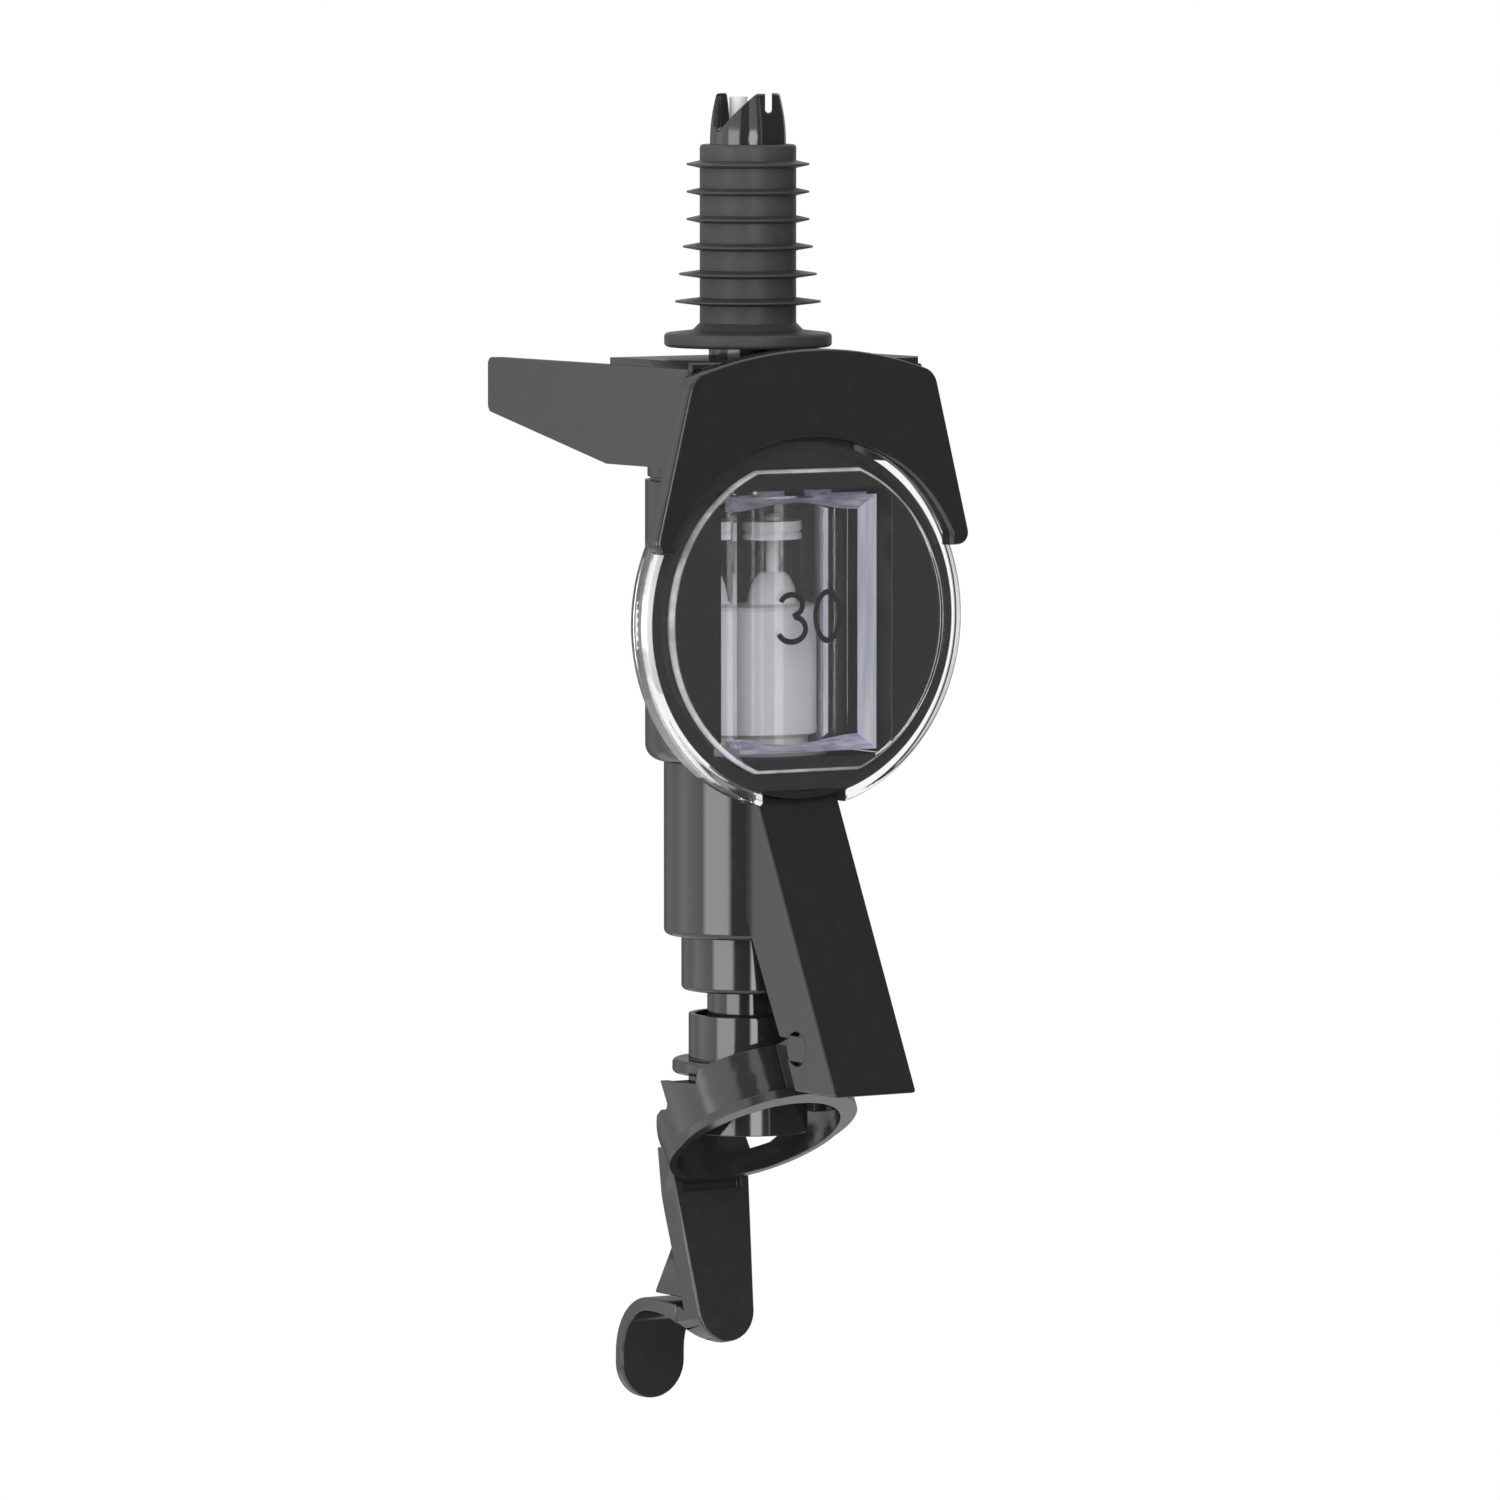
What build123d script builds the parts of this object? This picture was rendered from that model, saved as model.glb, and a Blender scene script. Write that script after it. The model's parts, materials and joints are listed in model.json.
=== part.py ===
from build123d import *
import math
import os

os.makedirs("parts", exist_ok=True)

# Spirit measure that hangs under an upturned bottle: the cork goes up into the
# neck, a glass pushes the lever back, the lever lifts the spout, and the spout
# lets out one measured dose. Millimetres. +Z is up, the front looks along -Y.
# The origin is on the column axis, on the cork flange where the bottle lip rests.

# Fits
fit = 0.05
running_fit = 0.05
hinge_fit = 0.08
valve_stroke = 3.2
stop_gap = 0.1

# Cork
cork_r = 8.0
cork_h = 30.7
cork_flange_r = 13.9
cork_flange_t = 2.8
fin_count = 6
fin_first_z = 4.7
fin_pitch = 4.54
fin_low_r = 12.1
fin_step_r = 0.65
fin_small_r = 10.2
fin_root_t = 1.5
fin_tip_t = 0.3

# Inlet tube with its two-pronged crown
inlet_r = 6.3
inlet_bore_r = 4.9
inlet_neck_r = 6.5
crown_h = 8.4
crown_tip_r = 5.35
crown_shoulder = 0.6
crown_wall = 0.9
crown_turn = 52.0
crown_cut_left = 4.58
crown_cut_right = 2.97
crown_cut_low = 3.2
crown_cut_h = 6.2
crown_slot_turn = 33.0
crown_slot_x = 3.38
crown_slot_w = 1.1
crown_slot_h = 3.3
inlet_socket_depth = 8.4
air_tube_r = 1.5
air_bore_r = 0.8
air_tube_end_gap = 1.8

# Hood: face plate, deck and the two cheeks
deck_z = -4.3
deck_t = 1.25
deck_back_y = 7.0
deck_half_w = 22.6
hood_front_y = -20.2
hood_t = 2.7
hood_peak_z = -2.5
hood_corner_x = 24.1
hood_corner_z = -6.7
hood_corner_r = 3.6
hood_tip_w = 4.37
hood_tip_z = -33.6
hood_tip_r = 2.0
hood_lap = 1.2
cheek_x = 23.1
cheek_t = 2.0
cheek_top_z = -5.5
cheek_back_y = 44.6
cheek_back_z = -14.5
cheek_bend_y = 7.4
cheek_low_z = -21.9
cheek_corner_r = 1.3

# Column
head_r = 16.7
head_top_z = -5.6
head_h = 18.6
head_flat_y = -12.9
seal_t = 0.6
body_r = 17.1
body_bottom_z = -71.4
body_wall = 1.7
body_floor_t = 2.0
body_edge_r = 2.8
spigot_depth = 3.3
tube_r = 14.0
tube_bore_r = 12.0
tube_bottom_z = -100.4
tube_lip_t = 2.0
bush_r = 11.1
bush_bottom_z = -109.6
bush_flange_t = 2.6
stem_r = 6.8
stem_bore_r = 4.6
ring_section_r = 0.75

# Round front
face_z = -47.3
face_r = 29.5
face_front_y = -15.4
face_t = 1.3
face_rim_y = -16.4
face_rim_w = 1.3
raised_r = 26.5
raised_flat = 24.6
raised_y = -17.25
window_half_w = 16.8
window_z = -47.9
window_half_h = 22.1
window_depth_y = -5.5
frame_wall = 1.4
block_half_w = 14.2
block_half_h = 21.3
liner_t = 1.7
cover_r = 31.5
cover_back_y = -13.1
cover_front_y = -17.1
pane_front_y = -18.7
pane_r = 27.0
pane_flat = 25.0
cover_gap_half_w = 8.2

# Dose insert and inlet valve
insert_r = 12.1
insert_h = 24.0
insert_foot_r = 9.8
insert_foot_h = 2.2
insert_dome_r = 6.9
insert_dome_top_r = 3.6
insert_dome_h = 5.3
rod_r = 1.8
valve_r = 8.1
valve_t = 2.2
valve_seal_t = 0.8
button_r = 2.2
button_h = 1.0

# Return spring
spring_wire_r = 0.4
spring_mean_r = 9.4
spring_turns = 6
stem_flange_r = 10.6
stem_flange_t = 2.0
stem_port_w = 3.0
stem_port_h = 3.0

# Spout
cup_gap = 0.8
cup_r = 9.9
cup_h = 19.7
cup_wall = 1.0
cup_recess_h = 6.3
cup_web_t = 6.0
collar_r = 12.6
collar_t = 2.4
collar_drop = 7.5
collar_flat_y = -6.8
nozzle_r = 6.0
nozzle_h = 5.0

# Front leg with the snap sockets of the lever
leg_half_w = 8.0
leg_wall = 1.8
leg_plate_t = 2.0
leg_top_lap = 6.6
leg_top_y = -12.6
leg_foot_y = -38.6
leg_foot_z = -124.1
leg_foot_back_y = -26.6
leg_leave_z = -96.2
pivot_y = -26.8
pivot_z = -117.0
pivot_r = 2.8
pivot_flat = 2.1
throat_top_z = -115.2
throat_low_z = -118.9
throat_back_y = -21.8
throat_low_y = -24.2

# Lever
ring_y = -3.3
ring_z = -134.7
ring_tilt = 30.0
ring_half_w = 15.3
ring_half_l = 16.2
ring_flare = 0.9
ring_wall = 1.4
ring_h = 10.0
rim_r = 15.6
rim_shift = 2.9
rim_t = 1.6
tab_half_w = 7.0
tab_h = 9.3
low_wall_h = 4.2
side_wall_h = 7.6
tooth_z = -124.2
tooth_step_y = -5.8
tooth_tip_y = 1.9
pad_x = 11.6
pad_w = 3.4
pad_back_y = 0.3
pad_l = 2.6
pad_t = 6.5
arm_half_w = 2.7
tongue_top_y = 10.9
tongue_top_z = -144.2
tongue_lean = 12.3
tongue_top_half_w = 7.45
tongue_low_half_w = 5.6
tongue_len = 25.6
tongue_plate_t = 2.4
tongue_wall = 1.7
tongue_recess_h = 1.6
waist_y = 14.0
waist_z = -152.2
gusset_y = 20.4
gusset_z = -162.2
gusset_half_w = 5.5
strip_t = 2.3
strip_half_w = 6.3
crest_y = 21.3
crest_z = -173.4
crest_r = 10.3
ear_bottom_z = -181.4

# Levels and radii worked out from the sizes above
leg_top_z = face_z - cover_r + leg_top_lap
hood_inner_r = cover_r - hood_lap
hood_inner_x = math.sqrt(hood_inner_r**2 - (hood_tip_z - face_z) ** 2)
hood_tip_x = hood_inner_x + hood_tip_w
crown_base_z = cork_h
crown_top_z = crown_base_z + crown_h
head_bottom_z = head_top_z - head_h
body_top_z = head_bottom_z - seal_t
body_bore_r = body_r - body_wall
seat_z = head_bottom_z - seal_t - spigot_depth
floor_z = body_bottom_z + body_floor_t
inlet_end_z = head_top_z - inlet_socket_depth
liner_r = body_bore_r - fit
liner_bore_r = liner_r - liner_t
liner_top_z = body_top_z - fit
bush_flange_z = tube_bottom_z + tube_lip_t
bush_top_z = bush_flange_z + bush_flange_t
cup_top_z = bush_bottom_z - valve_stroke - cup_gap
cup_bottom_z = cup_top_z - cup_h
collar_top_z = cup_top_z - collar_drop
web_top_z = cup_top_z - cup_recess_h
web_bottom_z = web_top_z - cup_web_t
stem_flange_z = bush_top_z + stop_gap
stem_top_z = stem_flange_z + stem_flange_t
stem_end_z = web_bottom_z + 2.0
valve_top_z = seat_z - valve_stroke - stop_gap
valve_disc_z = valve_top_z - valve_seal_t
insert_top_z = floor_z + fit + insert_h
spider_r = tube_bore_r + 0.9

# Cork: tapered stack of knife fins on a plain barrel, over a wide flange
with BuildPart() as stopper:
    with BuildSketch(Plane.XZ):
        with BuildLine():
            Polyline(
                (inlet_r + fit, -cork_flange_t),
                (cork_flange_r, -cork_flange_t),
                (cork_flange_r, -0.5),
                (cork_r + 1.2, 0),
                (cork_r, 1.2),
                (cork_r, cork_h),
                (inlet_r + fit, cork_h),
                close=True,
            )
        make_face()
    revolve(axis=Axis.Z)
    lip_edges = stopper.edges().filter_by(GeomType.CIRCLE)
    lip_edges = [e for e in lip_edges if abs(e.radius - cork_flange_r) < 0.01]
    fillet(lip_edges, 0.7)
    top_edge = [
        e
        for e in stopper.edges().filter_by(GeomType.CIRCLE)
        if abs(e.radius - cork_r) < 0.01 and e.center().Z > cork_h / 2
    ]
    fillet(top_edge, 0.6)
    for fin in range(fin_count):
        fin_z = fin_first_z + fin * fin_pitch
        fin_r = max(fin_small_r, fin_low_r - fin * fin_step_r)
        with BuildSketch(Plane.XZ):
            with BuildLine():
                Polyline(
                    (cork_r - 0.5, fin_z - fin_root_t / 2),
                    (fin_r, fin_z - fin_tip_t / 2),
                    (fin_r, fin_z + fin_tip_t / 2),
                    (cork_r - 0.5, fin_z + fin_root_t / 2),
                    close=True,
                )
            make_face()
        revolve(axis=Axis.Z)
stopper.part.label = "stopper"
export_step(stopper.part, "parts/stopper.step")

# Inlet tube: bore for the spirit, with an ogival crown cut into two prongs
with BuildPart() as inlet_tube:
    with BuildSketch(Plane.XZ):
        with BuildLine():
            Polyline(
                (inlet_bore_r, inlet_end_z),
                (inlet_neck_r, inlet_end_z),
                (inlet_neck_r, -cork_flange_t - fit),
                (inlet_r, -cork_flange_t - fit),
                (inlet_r, crown_base_z),
            )
            ogive = ThreePointArc(
                (inlet_r, crown_base_z),
                (inlet_r - 0.25, crown_base_z + crown_h / 2),
                (crown_tip_r, crown_top_z - crown_shoulder),
            )
            shoulder = RadiusArc(
                ogive @ 1, (crown_tip_r - crown_shoulder, crown_top_z), -crown_shoulder
            )
            Polyline(
                shoulder @ 1,
                (crown_tip_r - crown_wall, crown_top_z),
                (inlet_bore_r - 0.5, crown_base_z + crown_h / 2),
                (inlet_bore_r, crown_base_z),
                (inlet_bore_r, inlet_end_z),
            )
        make_face()
    revolve(axis=Axis.Z)
    # V between the prongs: one side upright and the other slanted, round at the foot
    with BuildSketch(Plane.XZ.rotated((0, 0, -crown_turn)).offset(-inlet_r * 2)):
        with BuildLine():
            Polyline(
                (-crown_cut_left, crown_top_z - crown_cut_h + 1.2),
                (-crown_cut_left, crown_top_z + 1),
                (crown_cut_right + 1, crown_top_z + 1),
                (crown_cut_right, crown_top_z),
                (-crown_cut_low, crown_top_z - crown_cut_h),
            )
            ThreePointArc(
                (-crown_cut_low, crown_top_z - crown_cut_h),
                (-crown_cut_left + 0.4, crown_top_z - crown_cut_h + 0.15),
                (-crown_cut_left, crown_top_z - crown_cut_h + 1.2),
            )
        make_face()
    extrude(amount=inlet_r * 4, mode=Mode.SUBTRACT)
    # Narrow saw slot with a round foot through the broad prong
    with BuildSketch(Plane.XZ.rotated((0, 0, -crown_slot_turn)).offset(-inlet_r * 2)):
        with Locations((crown_slot_x, crown_top_z - crown_slot_h / 2 + 0.5)):
            SlotOverall(crown_slot_h + 1, crown_slot_w, rotation=90)
    extrude(amount=inlet_r * 4, mode=Mode.SUBTRACT)
inlet_tube.part.label = "inlet_tube"
export_step(inlet_tube.part, "parts/inlet_tube.step")

# Air tube: lets air up past the spirit, clipped against the back of the bore
air_y = crown_tip_r - crown_wall - air_tube_r - fit
air_low_z = seat_z + air_tube_end_gap
air_high_z = crown_top_z - 0.6
with BuildPart() as air_tube:
    with BuildSketch(Plane.XY.offset(air_low_z)):
        with Locations((0, air_y)):
            Circle(air_tube_r)
            Circle(air_bore_r, mode=Mode.SUBTRACT)
    extrude(amount=air_high_z - air_low_z)
air_tube.part.label = "air_tube"
export_step(air_tube.part, "parts/air_tube.step")

# Chamber head: cap of the column, its port and the seat of the inlet valve
with BuildPart() as chamber_head:
    with BuildSketch(Plane.XZ):
        with BuildLine():
            Polyline(
                (inlet_bore_r, seat_z),
                (liner_bore_r - fit, seat_z),
                (liner_bore_r - fit, head_bottom_z),
                (head_r, head_bottom_z),
                (head_r, head_top_z),
                (inlet_neck_r + fit, head_top_z),
                (inlet_neck_r + fit, inlet_end_z - fit),
                (inlet_bore_r, inlet_end_z - fit),
                close=True,
            )
        make_face()
    revolve(axis=Axis.Z)
    rim_edge = [
        e
        for e in chamber_head.edges().filter_by(GeomType.CIRCLE)
        if abs(e.radius - head_r) < 0.01 and e.center().Z > head_top_z - 1
    ]
    fillet(rim_edge, 0.8)
    # Flat that clears the back of the round face
    flat_top_z = face_z + cover_r + 4 * fit
    with BuildSketch(Plane.XY.offset(body_top_z)):
        with Locations((0, head_flat_y - head_r / 2)):
            Rectangle(head_r * 2, head_r)
    extrude(amount=flat_top_z - body_top_z, mode=Mode.SUBTRACT)
    # Recess in the seat, so that the valve seal presses on a narrow lip
    with BuildSketch(Plane.XY.offset(seat_z)):
        Circle(liner_bore_r - 1.5)
        Circle(valve_r - 0.3, mode=Mode.SUBTRACT)
    extrude(amount=1.0, mode=Mode.SUBTRACT)
chamber_head.part.label = "chamber_head"
export_step(chamber_head.part, "parts/chamber_head.step")

# Seal ring pinched between the head and the body
with BuildPart() as head_seal:
    with BuildSketch(Plane.XY.offset(body_top_z)):
        Circle(body_r - 0.9)
        Circle(liner_bore_r, mode=Mode.SUBTRACT)
        with Locations((0, head_flat_y - head_r / 2)):
            Rectangle(head_r * 2, head_r, mode=Mode.SUBTRACT)
    extrude(amount=seal_t)
head_seal.part.label = "head_seal"
export_step(head_seal.part, "parts/head_seal.step")

# Chamber body: the black column housing with its round face and window frame
with BuildPart() as chamber_body:
    with BuildSketch(Plane.XY.offset(body_bottom_z)):
        Circle(body_r)
    extrude(amount=body_top_z - body_bottom_z)
    low_edge = [
        e
        for e in chamber_body.edges().filter_by(GeomType.CIRCLE)
        if e.center().Z < body_bottom_z + 1
    ]
    fillet(low_edge, body_edge_r)
    # Frame that joins the window to the column
    with BuildSketch(Plane.XZ.offset(-window_depth_y - 2.0)):
        with Locations((0, window_z)):
            Rectangle(
                2 * (window_half_w + frame_wall), 2 * (window_half_h + frame_wall)
            )
        with Locations((0, face_z)):
            Circle(face_r - face_rim_w, mode=Mode.INTERSECT)
    extrude(amount=-face_front_y + window_depth_y + 2.0)
    # Round face with a thin standing rim and a raised middle with two flats
    with BuildSketch(Plane.XZ.offset(-face_front_y - face_t)):
        with Locations((0, face_z)):
            Circle(face_r)
    extrude(amount=face_t)
    with BuildSketch(Plane.XZ.offset(-face_front_y)):
        with Locations((0, face_z)):
            Circle(face_r)
            Circle(face_r - face_rim_w, mode=Mode.SUBTRACT)
    extrude(amount=face_front_y - face_rim_y)
    with BuildSketch(Plane.XZ.offset(-face_front_y)):
        with Locations((0, face_z)):
            Circle(raised_r)
            Rectangle(2 * raised_r, 2 * raised_flat, mode=Mode.INTERSECT)
    extrude(amount=face_front_y - raised_y)
    # Room for the head and its seal behind the top of the face
    with BuildSketch(Plane.XY.offset(body_top_z)):
        Circle(head_r + fit)
        with Locations((0, head_flat_y - fit - head_r / 2)):
            Rectangle(3 * head_r, head_r, mode=Mode.SUBTRACT)
    extrude(amount=head_h, mode=Mode.SUBTRACT)
    # Window, bore and the seat of the outlet tube
    with BuildSketch(Plane.XZ.offset(-window_depth_y)):
        with Locations((0, window_z)):
            Rectangle(2 * window_half_w, 2 * window_half_h)
    extrude(amount=2 * face_r, mode=Mode.SUBTRACT)
    with BuildSketch(Plane.XY.offset(floor_z)):
        Circle(body_bore_r)
    extrude(amount=body_top_z - floor_z, mode=Mode.SUBTRACT)
    with BuildSketch(Plane.XY.offset(body_bottom_z)):
        Circle(spider_r + fit)
    extrude(amount=body_floor_t, mode=Mode.SUBTRACT)
chamber_body.part.label = "chamber_body"
export_step(chamber_body.part, "parts/chamber_body.step")

# Clear measuring chamber: round liner with a thick flat-fronted block
with BuildPart() as measuring_chamber:
    with BuildSketch(Plane.XY.offset(floor_z + fit)):
        Circle(liner_r)
    extrude(amount=liner_top_z - floor_z - fit)
    with BuildSketch(Plane.XZ):
        with Locations((0, window_z)):
            Rectangle(2 * block_half_w, 2 * block_half_h)
    extrude(amount=-raised_y - 0.05)
    front_edges = measuring_chamber.edges().group_by(Axis.Y)[0]
    chamfer(front_edges, 0.5)
    with BuildSketch(Plane.XY.offset(floor_z - 1)):
        Circle(liner_bore_r)
    extrude(amount=liner_top_z - floor_z + 2, mode=Mode.SUBTRACT)
measuring_chamber.part.label = "measuring_chamber"
export_step(measuring_chamber.part, "parts/measuring_chamber.step")

# Clear round cover: skirt over the face edge, ring, and the raised pane
with BuildPart() as front_cover:
    with BuildSketch(Plane.XZ.offset(-cover_back_y)):
        with Locations((0, face_z)):
            Circle(cover_r)
    extrude(amount=cover_back_y - cover_front_y)
    cover_edge = front_cover.edges().group_by(Axis.Y)[0]
    fillet(cover_edge, 0.9)
    with BuildSketch(Plane.XZ.offset(-cover_front_y)):
        with Locations((0, face_z)):
            Circle(pane_r)
            Rectangle(2 * pane_r, 2 * pane_flat, mode=Mode.INTERSECT)
    extrude(amount=cover_front_y - pane_front_y)
    pane_edge = front_cover.edges().group_by(Axis.Y)[0]
    chamfer(pane_edge, 0.6)
    # Hollow that fits over the rim and the raised middle of the face
    with BuildSketch(Plane.XZ.offset(-cover_back_y)):
        with Locations((0, face_z)):
            Circle(face_r + fit)
    extrude(amount=cover_back_y - face_rim_y + fit, mode=Mode.SUBTRACT)
    with BuildSketch(Plane.XZ.offset(-cover_back_y)):
        with Locations((0, face_z)):
            Circle(raised_r + fit)
            Rectangle(2 * cover_r, 2 * (raised_flat + fit), mode=Mode.INTERSECT)
    extrude(amount=cover_back_y - raised_y + fit, mode=Mode.SUBTRACT)
    # Gap in the skirt for the top of the leg
    gap_top_z = face_z - face_r + 1.5
    with BuildSketch(Plane.XZ.offset(-cover_back_y)):
        with Locations((0, gap_top_z - cover_r / 2)):
            Rectangle(2 * cover_gap_half_w, cover_r)
    extrude(amount=cover_back_y - pane_front_y, mode=Mode.SUBTRACT)
front_cover.part.label = "front_cover"
export_step(front_cover.part, "parts/front_cover.step")

# Hood: deck on the column, arched face plate and two long cheeks
with BuildPart() as bracket_hood:
    with BuildSketch(Plane.XZ.offset(-hood_front_y - hood_t)) as plate:
        with BuildLine():
            top_arc = ThreePointArc(
                (-hood_corner_x, hood_corner_z),
                (0, hood_peak_z),
                (hood_corner_x, hood_corner_z),
            )
            Polyline(
                top_arc @ 1,
                (hood_tip_x, hood_tip_z - hood_tip_r),
                (hood_inner_x, hood_tip_z - hood_tip_r),
                (hood_inner_x, hood_tip_z),
            )
            ThreePointArc(
                (hood_inner_x, hood_tip_z),
                (0, face_z + hood_inner_r),
                (-hood_inner_x, hood_tip_z),
            )
            Polyline(
                (-hood_inner_x, hood_tip_z),
                (-hood_inner_x, hood_tip_z - hood_tip_r),
                (-hood_tip_x, hood_tip_z - hood_tip_r),
                top_arc @ 0,
            )
        make_face()
        tip_corners = [
            v
            for v in plate.vertices()
            if v.Y < hood_tip_z - 0.1 and abs(v.X) > hood_inner_x + 0.1
        ]
        fillet(tip_corners, hood_tip_r)
        top_corners = [v for v in plate.vertices() if v.Y > hood_corner_z - 0.1]
        fillet(top_corners, hood_corner_r)
    extrude(amount=hood_t)
    for side in (-1, 1):
        with BuildSketch(Plane.YZ.offset(side * (cheek_x - cheek_t / 2))) as cheek:
            with BuildLine():
                Polyline(
                    (hood_front_y + hood_t, cheek_top_z),
                    (cheek_back_y, cheek_top_z),
                    (cheek_back_y, cheek_back_z),
                    (cheek_bend_y, cheek_low_z),
                    (hood_front_y + hood_t, cheek_low_z),
                    close=True,
                )
            make_face()
            fillet(cheek.vertices().group_by(Axis.X)[-1], cheek_corner_r)
        extrude(amount=cheek_t / 2, both=True)
    with BuildSketch(Plane.XY.offset(deck_z - deck_t)):
        deck_len = deck_back_y - hood_front_y - hood_t
        with Locations((0, deck_back_y - deck_len / 2)):
            Rectangle(2 * deck_half_w, deck_len)
        Circle(inlet_neck_r + fit, mode=Mode.SUBTRACT)
    extrude(amount=deck_t)
bracket_hood.part.label = "bracket_hood"
export_step(bracket_hood.part, "parts/bracket_hood.step")

# Flow plate: the chamber floor, with slots round the edge and a hole for the rod
plate_slot_in = insert_foot_r + 0.3
plate_slot_out = tube_bore_r - 0.3
with BuildPart() as flow_plate:
    with BuildSketch(Plane.XY.offset(body_bottom_z)):
        Circle(spider_r)
        Circle(rod_r + running_fit, mode=Mode.SUBTRACT)
        with BuildSketch(mode=Mode.SUBTRACT):
            Circle(plate_slot_out)
            Circle(plate_slot_in, mode=Mode.SUBTRACT)
            Rectangle(3 * spider_r, 3.0, mode=Mode.SUBTRACT)
            Rectangle(3.0, 3 * spider_r, mode=Mode.SUBTRACT)
    extrude(amount=body_floor_t)
flow_plate.part.label = "flow_plate"
export_step(flow_plate.part, "parts/flow_plate.step")

# Dose insert: takes up room in the chamber, so that the dose left is the right one
insert_low_z = floor_z + fit
dome_z = insert_top_z + 0.3
with BuildPart() as dose_insert:
    with BuildSketch(Plane.XZ):
        with BuildLine():
            Polyline(
                (rod_r + 0.6, insert_top_z + insert_dome_h),
                (rod_r + 0.6, insert_low_z),
                (insert_foot_r, insert_low_z),
                (insert_foot_r, insert_low_z + insert_foot_h),
                (insert_r, insert_low_z + insert_foot_h + 0.8),
                (insert_r, insert_top_z - 0.6),
                (insert_r - 0.6, insert_top_z),
                (insert_dome_r, dome_z),
            )
            ThreePointArc(
                (insert_dome_r, dome_z),
                (insert_dome_r - 1.1, dome_z + 0.58 * (insert_dome_h - 0.3)),
                (insert_dome_top_r, insert_top_z + insert_dome_h),
            )
            Line(
                (insert_dome_top_r, insert_top_z + insert_dome_h),
                (rod_r + 0.6, insert_top_z + insert_dome_h),
            )
        make_face()
    revolve(axis=Axis.Z)
dose_insert.part.label = "dose_insert"
export_step(dose_insert.part, "parts/dose_insert.step")

# Valve rod: ties the inlet valve to the stem
rod_top_z = valve_disc_z - valve_t / 2
rod_low_z = stem_top_z - 1.2
with BuildPart() as valve_rod:
    with BuildSketch(Plane.XY.offset(rod_low_z)):
        Circle(rod_r)
    extrude(amount=rod_top_z - rod_low_z)
valve_rod.part.label = "valve_rod"
export_step(valve_rod.part, "parts/valve_rod.step")

# Inlet valve: grooved disc with a button that holds the seal
with BuildPart() as inlet_valve:
    with BuildSketch(Plane.XZ):
        with BuildLine():
            Polyline(
                (0, rod_top_z),
                (rod_r, rod_top_z),
                (rod_r, valve_disc_z - valve_t),
                (valve_r, valve_disc_z - valve_t),
                (valve_r, valve_disc_z - valve_t * 0.65),
                (valve_r - 0.7, valve_disc_z - valve_t * 0.5),
                (valve_r, valve_disc_z - valve_t * 0.35),
                (valve_r, valve_disc_z),
                (button_r - 0.6, valve_disc_z),
                (button_r - 0.6, valve_top_z),
                (button_r, valve_top_z),
                (button_r, valve_top_z + button_h * 0.5),
                (button_r - 0.8, valve_top_z + button_h),
                (0, valve_top_z + button_h),
                close=True,
            )
        make_face()
    revolve(axis=Axis.Z)
inlet_valve.part.label = "inlet_valve"
export_step(inlet_valve.part, "parts/inlet_valve.step")

# Soft washer on the inlet valve
with BuildPart() as valve_seal:
    with BuildSketch(Plane.XY.offset(valve_disc_z)):
        Circle(valve_r)
        Circle(button_r - 0.6 + fit, mode=Mode.SUBTRACT)
    extrude(amount=valve_seal_t)
valve_seal.part.label = "valve_seal"
export_step(valve_seal.part, "parts/valve_seal.step")

# Outlet tube: lower chamber for the spring, with a lip that carries the bush
with BuildPart() as outlet_tube:
    with BuildSketch(Plane.XZ):
        with BuildLine():
            Polyline(
                (tube_bore_r, body_bottom_z),
                (tube_r, body_bottom_z),
                (tube_r, tube_bottom_z),
                (bush_r + fit, tube_bottom_z),
                (bush_r + fit, bush_flange_z),
                (tube_bore_r, bush_flange_z),
                close=True,
            )
        make_face()
    revolve(axis=Axis.Z)
    tube_edge = [
        e
        for e in outlet_tube.edges().filter_by(GeomType.CIRCLE)
        if abs(e.radius - tube_r) < 0.01 and e.center().Z < tube_bottom_z + 1
    ]
    fillet(tube_edge, 1.0)
outlet_tube.part.label = "outlet_tube"
export_step(outlet_tube.part, "parts/outlet_tube.step")

# Outlet bush: guides the stem and holds its seal
seal_z = bush_top_z - 1.4
gland_half = ring_section_r + 0.1
gland_r = stem_r + running_fit + 2 * ring_section_r + 0.1
with BuildPart() as outlet_bush:
    with BuildSketch(Plane.XZ):
        with BuildLine():
            Polyline(
                (stem_r + running_fit, bush_bottom_z),
                (bush_r, bush_bottom_z),
                (bush_r, bush_flange_z),
                (tube_bore_r - fit, bush_flange_z),
                (tube_bore_r - fit, bush_top_z),
                (stem_r + running_fit, bush_top_z),
                (stem_r + running_fit, seal_z + gland_half),
                (gland_r, seal_z + gland_half),
                (gland_r, seal_z - gland_half),
                (stem_r + running_fit, seal_z - gland_half),
                close=True,
            )
        make_face()
    revolve(axis=Axis.Z)
    bush_edge = [
        e
        for e in outlet_bush.edges().filter_by(GeomType.CIRCLE)
        if abs(e.radius - bush_r) < 0.01 and e.center().Z < bush_bottom_z + 1
    ]
    fillet(bush_edge, 0.8)
outlet_bush.part.label = "outlet_bush"
export_step(outlet_bush.part, "parts/outlet_bush.step")

# Ring seal round the stem
with BuildPart() as stem_seal:
    with BuildSketch(Plane.XZ):
        with Locations((stem_r + running_fit + ring_section_r, seal_z)):
            Circle(ring_section_r)
    revolve(axis=Axis.Z)
stem_seal.part.label = "stem_seal"
export_step(stem_seal.part, "parts/stem_seal.step")

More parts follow.
